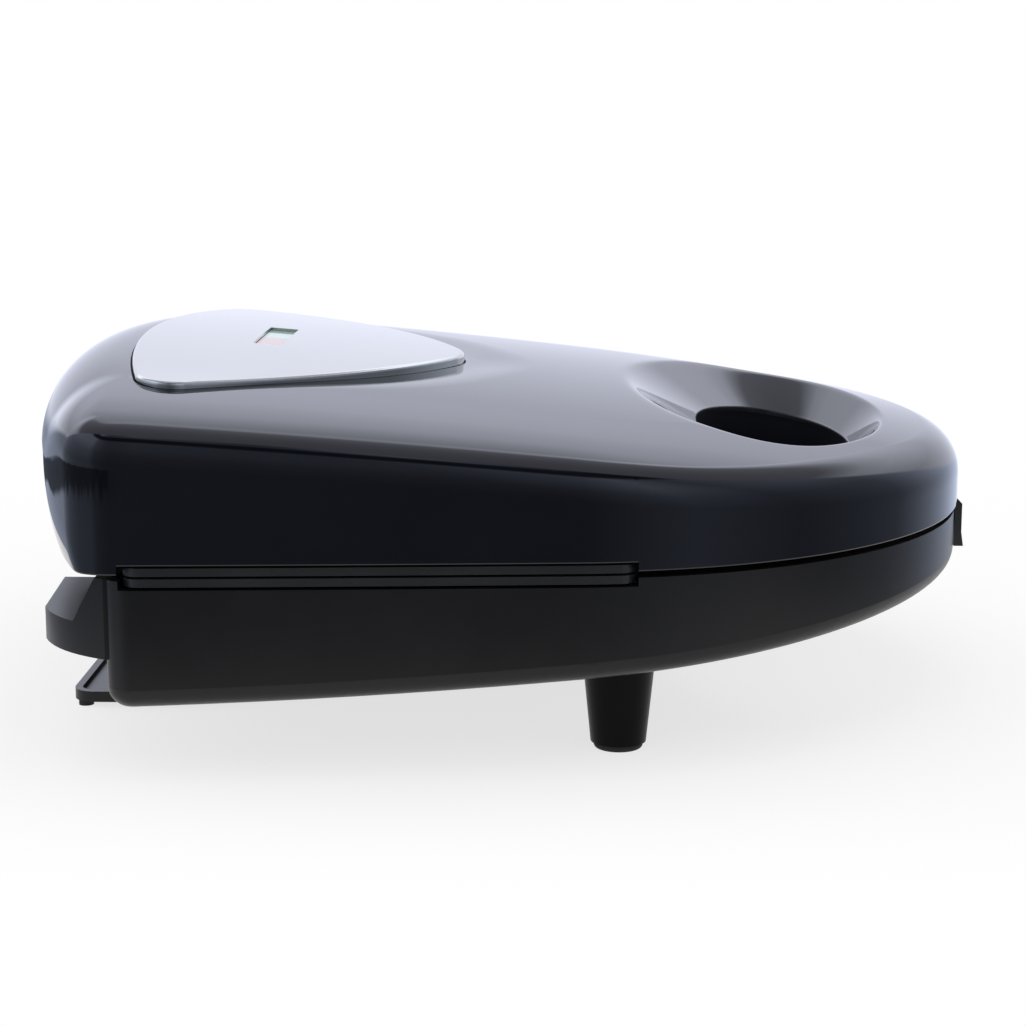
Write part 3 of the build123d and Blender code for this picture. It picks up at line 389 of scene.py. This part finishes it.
def lid_skin(material):
    """The lid's visible body as one closed grid: rim, wall, rolled edge, top, dish, hole, and back inside."""
    plan = lid_columns()
    into = inward(plan)
    x, y = plan.T
    rim = np.full(len(plan), RIM_Z)
    rim[(np.abs(y) > SIDE_FROM_Y) & (x > WINDOW_X[0]) & (x < WINDOW_X[1])] = WINDOW_Z
    rim[(x > NOTCH_FROM_X) & (np.abs(y) < NOTCH_HALF)] = NOTCH_Z
    front = front_share(x, y)
    corner = smooth((ROLL_CORNER_X - x) / ROLL_CORNER_BLEND)
    rear = np.where(x < ROLL_REAR_X, smooth((ROLL_REAR_Y - np.abs(y)) / ROLL_REAR_BLEND), 0)
    roll = ROLL_SIDE + (ROLL_FRONT - ROLL_SIDE) * front
    roll = roll + (ROLL_CORNER - ROLL_SIDE) * corner + (ROLL_REAR - ROLL_CORNER) * rear

    def inset(depth):
        return plan + into * np.broadcast_to(depth, x.shape)[:, None]

    def slope(depth):
        step = 0.05
        return (crown(*inset(depth + step).T) - crown(*inset(depth - step).T)) / (2 * step)

    tilt = slope(roll)
    roll_z = crown(*inset(roll).T) - roll * np.sqrt(1 + tilt * tilt)
    roll_end = np.arctan2(1, -tilt)
    rows = [
        (inset(WALL), rim), (inset(RIM_CHAMFER), rim),
        (inset(0.3 * RIM_CHAMFER), rim + 0.3 * RIM_CHAMFER), (plan, rim + RIM_CHAMFER),
    ]
    wall_rows = 22
    wall_foot = rim + RIM_CHAMFER + WALL_FOOT
    for i in range(wall_rows + 1):
        rows.append((plan, wall_foot + (roll_z - wall_foot) * i / wall_rows))
    roll_rows = 22
    for i in range(1, roll_rows + 1):
        angle = pi + (roll_end - pi) * i / roll_rows
        rows.append((inset(roll + roll * np.cos(angle)), roll_z + roll * np.sin(angle)))
    edge = rows[-1][0]
    spoke = np.arctan2(edge[:, 1] / DISH_HALF[1], (edge[:, 0] - DISH_X) / DISH_HALF[0])
    lip = ellipse(DISH_X, DISH_HALF, spoke)
    top_rows = 90
    tops = [edge + (lip - edge) * i / top_rows for i in range(1, top_rows + 1)]
    dish_rows = 40
    hole_rows = []
    for i in range(1, dish_rows + 1):
        w = i / dish_rows
        half = [DISH_HALF[k] + (HOLE_MOUTH_HALF[k] - DISH_HALF[k]) * w for k in (0, 1)]
        hole_rows.append((w, ellipse(DISH_X + (HOLE_X - DISH_X) * w, half, spoke)))
    grid = np.array(tops + [p for w, p in hole_rows])
    height = lid_top(grid[..., 0], grid[..., 1])

    def sink(w):
        return DISH_LIP_SOFT * np.log1p(np.exp((w - DISH_LIP) / DISH_LIP_SOFT))

    start = sink(0.0)
    for i, (w, p) in enumerate(hole_rows):
        height[top_rows + i] -= DISH_DEPTH * (sink(w) - start) / (sink(1.0) - start)
    rows += [(grid[i], height[i]) for i in range(len(grid))]
    hole_z = height[-1]
    edge_rows = 4
    for i in range(1, edge_rows + 1):
        angle = pi / 2 * i / edge_rows
        half = [h - HOLE_EDGE * 0.5 * sin(angle) for h in HOLE_MOUTH_HALF]
        rows.append((ellipse(HOLE_X, half, spoke), hole_z - HOLE_EDGE * (1 - cos(angle))))
    mouth = rows[-1][0]
    bore = ellipse(HOLE_X, [h - HOLE_EDGE * 0.5 for h in HOLE_HALF], spoke)
    bore_rows = 8
    for i in range(1, bore_rows + 1):
        z = hole_z - HOLE_EDGE
        closed = 1 - (1 - i / bore_rows) ** 2
        rows.append((mouth + (bore - mouth) * closed, z + (TUBE_LOW_Z - z) * i / bore_rows))
    outside = ellipse(HOLE_X, [h + WALL for h in HOLE_HALF], spoke)
    rows.append((outside, np.full(len(plan), TUBE_LOW_Z)))
    rows.append((outside, np.full(len(plan), TUBE_FLARE_Z)))
    outside = ellipse(HOLE_X, [h + WALL for h in HOLE_MOUTH_HALF], spoke)
    rows.append((outside, hole_z - WALL))
    for i in (top_rows + 12, top_rows, 60, 30, 8):
        rows.append((grid[i], height[i] - WALL - SEAT_DEPTH))
    rows.append((inset(roll + WALL), crown(*inset(roll + WALL).T) - 2 * WALL))
    rows.append((inset(WALL), np.minimum(roll_z - WALL, rim + INNER_WALL_HEIGHT)))

    points = np.array([np.column_stack([p, z]) for p, z in rows])
    up = np.clip((points[..., 2] - RIM_Z) / UNDERCUT_HEIGHT, 0, 1)
    bow = UNDERCUT_RADIUS - np.sqrt(UNDERCUT_RADIUS ** 2 - points[..., 1] ** 2)
    limit = CORNER_X - BULGE + UNDERCUT_DEPTH * (1 - up) ** 2 + bow
    px = points[..., 0]
    drawn = (px + limit + np.sqrt((px - limit) ** 2 + UNDERCUT_SOFT ** 2)) / 2 - UNDERCUT_SOFT / 4
    points[..., 0] = np.where((px < UNDERCUT_FROM_X) & (up < 1), np.maximum(px, drawn), px)
    made = mesh_object(
        "lid_body", points.reshape(-1, 3), grid_faces(len(points), len(plan), True, True), material
    )
    made.data.set_sharp_from_angle(angle=radians(50))
    return made


def hinge_arms(material):
    """The two barrels that hang from the lid's rear, each round its pin."""
    profile = []
    steps = 24
    for i in range(steps + 1):
        a = pi + pi * i / steps
        profile.append((HINGE[0] + HINGE_BARREL * cos(a), HINGE[1] + HINGE_BARREL * sin(a)))
    profile += [(HINGE[0] + HINGE_BARREL, HINGE_ARM_TOP_Z), (HINGE[0] - HINGE_BARREL, HINGE_ARM_TOP_Z)]
    points, faces = [], []
    for side in (-1, 1):
        first = len(points)
        count = len(profile)
        for y in HINGE_ARM_Y:
            points += [(px, side * y, pz) for px, pz in profile]
        faces.append([first + i for i in range(count)])
        faces.append([first + count + i for i in reversed(range(count))])
        for i in range(count):
            k = (i + 1) % count
            faces.append((first + i, first + count + i, first + count + k, first + k))
    made = mesh_object("lid_hinge_arms", points, faces, material)
    bevel = made.modifiers.new("edge", "BEVEL")
    bevel.width = 0.0005
    bevel.segments = 3
    bevel.limit_method = "ANGLE"
    made.data.set_sharp_from_angle(angle=radians(40))
    return made


def plate_gap_shadow(material):
    """A matt black strip round the silver plate, a painted shadow that stands in for the shade in the gap."""
    into = inward(SHIELD)
    rows = []
    for out, rise in GAP_SHADOW_PROFILE:
        ring = SHIELD - into * out
        beside = SHIELD - into * max(out, GAP_SHADOW_REACH)
        rows.append(np.column_stack([ring, lid_top(*beside.T) + rise]))
    points = np.vstack(rows)
    return mesh_object("plate_gap_shadow", points, grid_faces(len(rows), len(SHIELD), True, True), material)


# Materials
def node_tree(owner):
    owner.use_nodes = True
    owner.node_tree.nodes.clear()
    return owner.node_tree


def add(tree, kind, **values):
    """A node with its attributes and input sockets set."""
    made = tree.nodes.new(kind)
    for key, value in values.items():
        if hasattr(made, key):
            setattr(made, key, value)
        else:
            made.inputs[key.replace("_", " ")].default_value = value
    return made


def link(tree, source, target):
    tree.links.new(source, target)


def ramp(tree, source, low, high, low_at=0.3, high_at=0.7):
    made = add(tree, "ShaderNodeValToRGB")
    ends = made.color_ramp.elements
    ends[0].position, ends[1].position = low_at, high_at
    ends[0].color, ends[1].color = (*low, 1), (*high, 1)
    link(tree, source, made.inputs["Fac"])
    return made.outputs["Color"]


def spread_of(tree, source, low, high, start=0.0, end=1.0, kind="LINEAR"):
    """A source that runs from start to end, spread from low to high."""
    made = add(tree, "ShaderNodeMapRange", interpolation_type=kind)
    made.inputs["From Min"].default_value = start
    made.inputs["From Max"].default_value = end
    made.inputs["To Min"].default_value = low
    made.inputs["To Max"].default_value = high
    link(tree, source, made.inputs["Value"])
    return made.outputs["Result"]


def math_of(tree, operation, *values):
    """A math node on sockets and numbers."""
    made = add(tree, "ShaderNodeMath", operation=operation)
    for i, value in enumerate(values):
        if isinstance(value, (int, float)):
            made.inputs[i].default_value = value
        else:
            link(tree, value, made.inputs[i])
    return made.outputs[0]


def levels_of(tree, source, table):
    """A grey ramp through pairs of place and level."""
    made = add(tree, "ShaderNodeValToRGB")
    ends = made.color_ramp.elements
    while len(ends) < len(table):
        ends.new(0.5)
    for end, (place, level) in zip(ends, table):
        end.position = place
        end.color = (level, level, level, 1)
    link(tree, source, made.inputs["Fac"])
    return made.outputs["Color"]


def noise_of(tree, scale, detail, stretch=(1, 1, 1)):
    where = add(tree, "ShaderNodeTexCoord")
    shape = add(tree, "ShaderNodeMapping")
    shape.inputs["Scale"].default_value = stretch
    link(tree, where.outputs["Object"], shape.inputs["Vector"])
    made = add(tree, "ShaderNodeTexNoise", Scale=scale, Detail=detail, Roughness=0.55)
    link(tree, shape.outputs["Vector"], made.inputs["Vector"])
    return made.outputs["Fac"]


def surface(
    name, colour, rough, rough_spread, grain_scale, grain_bump, metallic=0.0, spread=0.12, stretch=(1, 1, 1),
    specular=0.5, broad_scale=38.0,
):
    """A surface with faint colour and gloss variation and a fine grain."""
    material = bpy.data.materials.new(name)
    tree = node_tree(material)
    out = add(tree, "ShaderNodeOutputMaterial")
    shader = add(tree, "ShaderNodeBsdfPrincipled")
    shader.inputs["Metallic"].default_value = metallic
    shader.inputs["IOR"].default_value = 1.5
    shader.inputs["Specular IOR Level"].default_value = specular
    broad = noise_of(tree, broad_scale, 3.0, stretch)
    low = [c * (1 - spread) for c in colour]
    high = [min(1, c * (1 + spread)) for c in colour]
    link(tree, ramp(tree, broad, low, high), shader.inputs["Base Color"])
    link(tree, spread_of(tree, broad, rough - rough_spread, rough + rough_spread), shader.inputs["Roughness"])
    if grain_bump > 0:
        bump = add(tree, "ShaderNodeBump", Strength=grain_bump, Distance=0.0001)
        link(tree, noise_of(tree, grain_scale, 2.0, stretch), bump.inputs["Height"])
        link(tree, bump.outputs["Normal"], shader.inputs["Normal"])
    link(tree, shader.outputs["BSDF"], out.inputs["Surface"])
    return material


def distance_of(tree, *steps):
    """How far a place on the object lies from a point, after some vector steps."""
    source = add(tree, "ShaderNodeTexCoord").outputs["Object"]
    for operation, value in steps:
        made = add(tree, "ShaderNodeVectorMath", operation=operation)
        link(tree, source, made.inputs[0])
        if value:
            made.inputs[1].default_value = value
        source = made.outputs["Vector"]
    made = add(tree, "ShaderNodeVectorMath", operation="LENGTH")
    link(tree, source, made.inputs[0])
    return made.outputs["Value"]


def paint_feet_shade(material):
    """Painted shade on the tall feet: a darker colour and less reflection than the satin housing that they are
    moulded with, standing in for the shade under the base.
    """
    tree = material.node_tree
    shader = next(n for n in tree.nodes if n.type == "BSDF_PRINCIPLED")
    plain = shader.inputs["Base Color"].links[0].from_socket
    away = distance_of(tree, ("ABSOLUTE", None), ("SUBTRACT", (FOOT_X, FOOT_Y, 0)), ("MULTIPLY", (1, 1, 0)))
    foot_shade = spread_of(tree, away, 1, 0, FOOT_REACH, FOOT_REACH + FOOT_SOFT)
    mixed = add(tree, "ShaderNodeMix", data_type="RGBA")
    link(tree, foot_shade, mixed.inputs["Factor"])
    link(tree, plain, mixed.inputs[COLOUR_A])
    # Painted shade on the feet: a near black colour here and a lower specular level below
    mixed.inputs[COLOUR_B].default_value = FOOT_SHADE_COLOUR
    link(tree, mixed.outputs[COLOUR_OUT], shader.inputs["Base Color"])
    link(tree, spread_of(tree, foot_shade, BASE_SPECULAR, FOOT_SHADE_SPECULAR), shader.inputs["Specular IOR Level"])


def matt_bore_painted_shade(material):
    """The finger hole's wall is matt, unlike the polished lid that it is moulded with; its reflection is also
    turned down, as painted shade in the hole.
    """
    tree = material.node_tree
    shader = next(n for n in tree.nodes if n.type == "BSDF_PRINCIPLED")
    polished = shader.inputs["Roughness"].links[0].from_socket
    centre = ((HOLE_X + SHIFT) / 1000, 0, 0)
    per_half = (1000 / HOLE_MOUTH_HALF[0], 1000 / HOLE_MOUTH_HALF[1], 0)
    away = distance_of(tree, ("SUBTRACT", centre), ("MULTIPLY", per_half))
    inside = spread_of(tree, away, 1, 0, BORE_EDGE, 1.0)
    matt = math_of(tree, "MULTIPLY", inside, BORE_ROUGH)
    link(tree, math_of(tree, "MAXIMUM", polished, matt), shader.inputs["Roughness"])
    # Painted shade in the hole: the wall's specular level is turned down inside the mouth
    link(tree, spread_of(tree, inside, LID_SPECULAR, BORE_SHADE_SPECULAR), shader.inputs["Specular IOR Level"])


lid_black = surface("lid_gloss_black", (0.0028, 0.0033, 0.0052), 0.04, 0.012, 900.0, 0.0)
base_black = surface("base_satin_black", (0.0068, 0.0066, 0.0072), 0.33, 0.03, 2600.0, 0.10)
latch_black = surface("latch_satin_black", (0.008, 0.008, 0.009), 0.28, 0.03, 2600.0, 0.10)
panel_black = surface("panel_black", (0.010, 0.010, 0.011), 0.42, 0.03, 2200.0, 0.14)
# Painted shadow: a matt black that hardly reflects, for the strip in the plate's gap
gap_shadow_black = surface("gap_shadow_black", (0.002, 0.002, 0.002), 0.80, 0.05, 1500.0, 0.10, specular=0.1)
rubber = surface("foot_rubber", (0.010, 0.010, 0.011), 0.75, 0.05, 1500.0, 0.25)
pale = surface("pale_plastic", (0.72, 0.70, 0.64), 0.5, 0.04, 1200.0, 0.10, spread=0.04)
coated = surface("nonstick_coating", (0.010, 0.0105, 0.012), 0.38, 0.04, 1800.0, 0.30)
silver = surface("silver_trim", (0.50, 0.50, 0.465), 0.14, 0.02, 500.0, 0.004, metallic=1.0, spread=0.02)
steel = surface("screw_steel", (0.56, 0.56, 0.57), 0.32, 0.05, 900.0, 0.06, metallic=1.0, broad_scale=300.0)
tube_steel = surface(
    "element_steel", (0.22, 0.215, 0.21), 0.45, 0.06, 700.0, 0.10, metallic=1.0, broad_scale=200.0,
)
sheet = surface(
    "reflector_sheet", (0.78, 0.79, 0.80), 0.26, 0.05, 260.0, 0.05, metallic=1.0, stretch=(1, 14, 1),
    broad_scale=120.0,
)
brass = surface("fuse_brass", (0.70, 0.56, 0.30), 0.32, 0.05, 600.0, 0.05, metallic=1.0)
red = surface("red_lens", (0.66, 0.44, 0.42), 0.10, 0.02, 900.0, 0.02, spread=0.05)
green = surface("green_lens", (0.50, 0.68, 0.62), 0.10, 0.02, 900.0, 0.02, spread=0.05)
neon = surface("neon_glass", (0.75, 0.42, 0.25), 0.08, 0.02, 900.0, 0.0, spread=0.05)

paint_feet_shade(base_black)
matt_bore_painted_shade(lid_black)

finish_of = {
    lid_black: ["lid_shell"],
    base_black: ["base_shell", "cord_wrap_bracket"],
    latch_black: ["latch", "cord_inlet"],
    panel_black: ["base_front_deck", "lid_front_liner", "lid_rear_liner"],
    rubber: ["front_foot_pads", "rear_foot_pads"],
    pale: ["terminal_block", "lamp_holder"],
    coated: ["lower_plate", "upper_plate"],
    silver: ["top_plate"],
    steel: [
        "deck_screws", "lower_element_clamps", "lower_clamp_screws", "lower_plate_screws", "cord_wrap_screws",
        "hinge_pins", "upper_element_clamps", "upper_clamp_screws", "upper_plate_screws", "thermostat",
        "liner_screws", "latch_pin",
    ],
    tube_steel: ["lower_element", "upper_element"],
    sheet: ["lower_reflector", "upper_reflector"],
    brass: ["thermal_fuse"],
    red: ["power_lens"],
    green: ["ready_lens"],
    neon: ["neon_lamps"],
}
for material, names in finish_of.items():
    for name in names:
        data = nodes[name].data
        data.materials.clear()
        data.materials.append(material)

lid_body = lid_skin(lid_black)
arms = hinge_arms(lid_black)
gap_shadow = plate_gap_shadow(gap_shadow_black)
for piece in (lid_body, arms, gap_shadow):
    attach(piece, "lid")
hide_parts("lid_shell")

# Floor: near white for the camera and for reflections, with the object's soft shadow left on it
FLOOR_X = 0.21
FLOOR_FRONT_Y = -0.20
FLOOR_BACK_Y = 0.60
FLOOR_WHITE_SHARE = 0.72
FLOOR_FADE = 0.09
data = bpy.data.meshes.new("floor")
corners = [
    (-FLOOR_X, FLOOR_FRONT_Y, 0), (FLOOR_X, FLOOR_FRONT_Y, 0),
    (FLOOR_X, FLOOR_BACK_Y, 0), (-FLOOR_X, FLOOR_BACK_Y, 0),
]
data.from_pydata(corners, [], [(0, 1, 2, 3)])
floor = bpy.data.objects.new("floor", data)
bpy.context.scene.collection.objects.link(floor)
material = bpy.data.materials.new("floor_white")
tree = node_tree(material)
out = add(tree, "ShaderNodeOutputMaterial")
matt = add(tree, "ShaderNodeBsdfDiffuse")
matt.inputs["Color"].default_value = (1, 1, 1, 1)
glow = add(tree, "ShaderNodeEmission", Strength=1.0)
path = add(tree, "ShaderNodeLightPath")
seen = math_of(tree, "MAXIMUM", path.outputs["Is Camera Ray"], path.outputs["Is Glossy Ray"])
seen = math_of(tree, "MAXIMUM", seen, path.outputs["Is Transmission Ray"])
place = add(tree, "ShaderNodeTexCoord")
across = add(tree, "ShaderNodeSeparateXYZ")
link(tree, place.outputs["Object"], across.inputs["Vector"])
fade = spread_of(
    tree, across.outputs["Y"], 1, FLOOR_WHITE_SHARE, FLOOR_FRONT_Y, FLOOR_FRONT_Y + FLOOR_FADE, "SMOOTHSTEP"
)
mix = add(tree, "ShaderNodeMixShader")
link(tree, math_of(tree, "MULTIPLY", seen, fade), mix.inputs["Fac"])
link(tree, matt.outputs["BSDF"], mix.inputs[1])
link(tree, glow.outputs["Emission"], mix.inputs[2])
link(tree, mix.outputs["Shader"], out.inputs["Surface"])
floor.data.materials.append(material)

# World: white for the camera. Reflections see the pale backdrop behind and above, and a dim room on the near
# side, whose levels go by direction in degrees and by height, with a thin dark line below the horizon
BACKDROP_TILT = 0.92
BACKDROP_EDGE = 0.85
BACKDROP_HEIGHT = [(-1, 1.1), (0.26, 1.1), (0.48, 1.8), (0.58, 1.8), (0.70, 0.7), (1, 0.7)]
BACKDROP_TINT = (0.93, 0.965, 1.13, 1)
BACKDROP_SOFT = 0.03
ROOM_LIFT = 3.0
ROOM = [
    (-180, 0.4), (-45, 0.4), (-30, 0.2), (0, 0.1), (10, 0.1), (40, 0.3), (70, 0.15), (110, 0.25), (150, 1.0),
    (180, 1.0),
]
ROOM_HEIGHT = [
    (-1, 1.0), (0, 1.0), (0.45, 1.7), (0.74, 2.9), (0.90, 3.0), (0.93, 0.15), (0.975, 0.15), (0.985, 3.0),
    (1, 3.0),
]
ROOM_TINT = (0.86, 0.97, 1.25, 1)
LINE_DEPTH = (0.160, 0.180)
LINE_HALF = (0.006, 0.010)
LINE_LEVEL = 0.17
LINE_END_DEGREES = (-8, -6)
world = bpy.data.worlds.new("studio")
bpy.context.scene.world = world
tree = node_tree(world)
out = add(tree, "ShaderNodeOutputWorld")
where = add(tree, "ShaderNodeTexCoord")
axes = add(tree, "ShaderNodeSeparateXYZ")
link(tree, where.outputs["Generated"], axes.inputs["Vector"])
ahead, up = axes.outputs["Y"], axes.outputs["Z"]
reach = math_of(tree, "MULTIPLY_ADD", up, BACKDROP_TILT, ahead)
backdrop = spread_of(
    tree, reach, 0, 1, BACKDROP_EDGE - BACKDROP_SOFT, BACKDROP_EDGE + BACKDROP_SOFT, "SMOOTHSTEP"
)
turn = math_of(tree, "ARCTAN2", axes.outputs["X"], math_of(tree, "MULTIPLY", ahead, -1.0))
room = levels_of(tree, spread_of(tree, turn, 0, 1, -pi, pi), [((a + 180) / 360, v) for a, v in ROOM])
height = spread_of(tree, up, 0, 1, -1, 1)
lift = levels_of(tree, height, [((h + 1) / 2, v / ROOM_LIFT) for h, v in ROOM_HEIGHT])
cloud = add(tree, "ShaderNodeTexNoise", Scale=6.0, Detail=3.0, Roughness=0.5)
link(tree, where.outputs["Generated"], cloud.inputs["Vector"])
wave = spread_of(tree, cloud.outputs["Fac"], *LINE_DEPTH)
off_line = math_of(tree, "ABSOLUTE", math_of(tree, "ADD", up, wave))
line = spread_of(tree, off_line, LINE_LEVEL, 1, *LINE_HALF, "SMOOTHSTEP")
line_end = spread_of(tree, turn, 0, 1, *[radians(a) for a in LINE_END_DEGREES])
line = math_of(tree, "MULTIPLY", math_of(tree, "MAXIMUM", line, line_end), ROOM_LIFT)
room = math_of(tree, "MULTIPLY", math_of(tree, "MULTIPLY", room, lift), line)
gain = levels_of(tree, height, [((h + 1) / 2, v / ROOM_LIFT) for h, v in BACKDROP_HEIGHT])
gain = math_of(tree, "MULTIPLY", gain, ROOM_LIFT)
level = add(tree, "ShaderNodeMix", data_type="FLOAT")
link(tree, backdrop, level.inputs["Factor"])
link(tree, room, level.inputs[FLOAT_A])
link(tree, gain, level.inputs[FLOAT_B])
tint = add(tree, "ShaderNodeMix", data_type="RGBA")
link(tree, backdrop, tint.inputs["Factor"])
tint.inputs[COLOUR_A].default_value = ROOM_TINT
tint.inputs[COLOUR_B].default_value = BACKDROP_TINT
reflected = add(tree, "ShaderNodeVectorMath", operation="SCALE")
link(tree, tint.outputs[COLOUR_OUT], reflected.inputs[0])
link(tree, level.outputs[0], reflected.inputs["Scale"])
path = add(tree, "ShaderNodeLightPath")
clear = math_of(tree, "MAXIMUM", path.outputs["Is Glossy Ray"], path.outputs["Is Transmission Ray"])
ambient = add(tree, "ShaderNodeBackground", Strength=1.0)
ambient.inputs["Color"].default_value = (1, 1, 1, 1)
mirror_view = add(tree, "ShaderNodeBackground", Strength=1.0)
link(tree, reflected.outputs["Vector"], mirror_view.inputs["Color"])
white = add(tree, "ShaderNodeBackground", Strength=1.0)
white.inputs["Color"].default_value = (1, 1, 1, 1)
first = add(tree, "ShaderNodeMixShader")
link(tree, clear, first.inputs["Fac"])
link(tree, ambient.outputs["Background"], first.inputs[1])
link(tree, mirror_view.outputs["Background"], first.inputs[2])
second = add(tree, "ShaderNodeMixShader")
link(tree, path.outputs["Is Camera Ray"], second.inputs["Fac"])
link(tree, first.outputs["Shader"], second.inputs[1])
link(tree, white.outputs["Background"], second.inputs[2])
link(tree, second.outputs["Shader"], out.inputs["Surface"])

camera_data = bpy.data.cameras.new("camera")
camera_data.lens = CAMERA_LENS
camera_data.sensor_width = 36.0
camera = bpy.data.objects.new("camera", camera_data)
camera.location = CAMERA_PLACE
camera.rotation_euler = (radians(CAMERA_PITCH), 0, radians(CAMERA_TURN))
bpy.context.scene.collection.objects.link(camera)
bpy.context.scene.camera = camera
bpy.context.scene.view_settings.view_transform = "Standard"
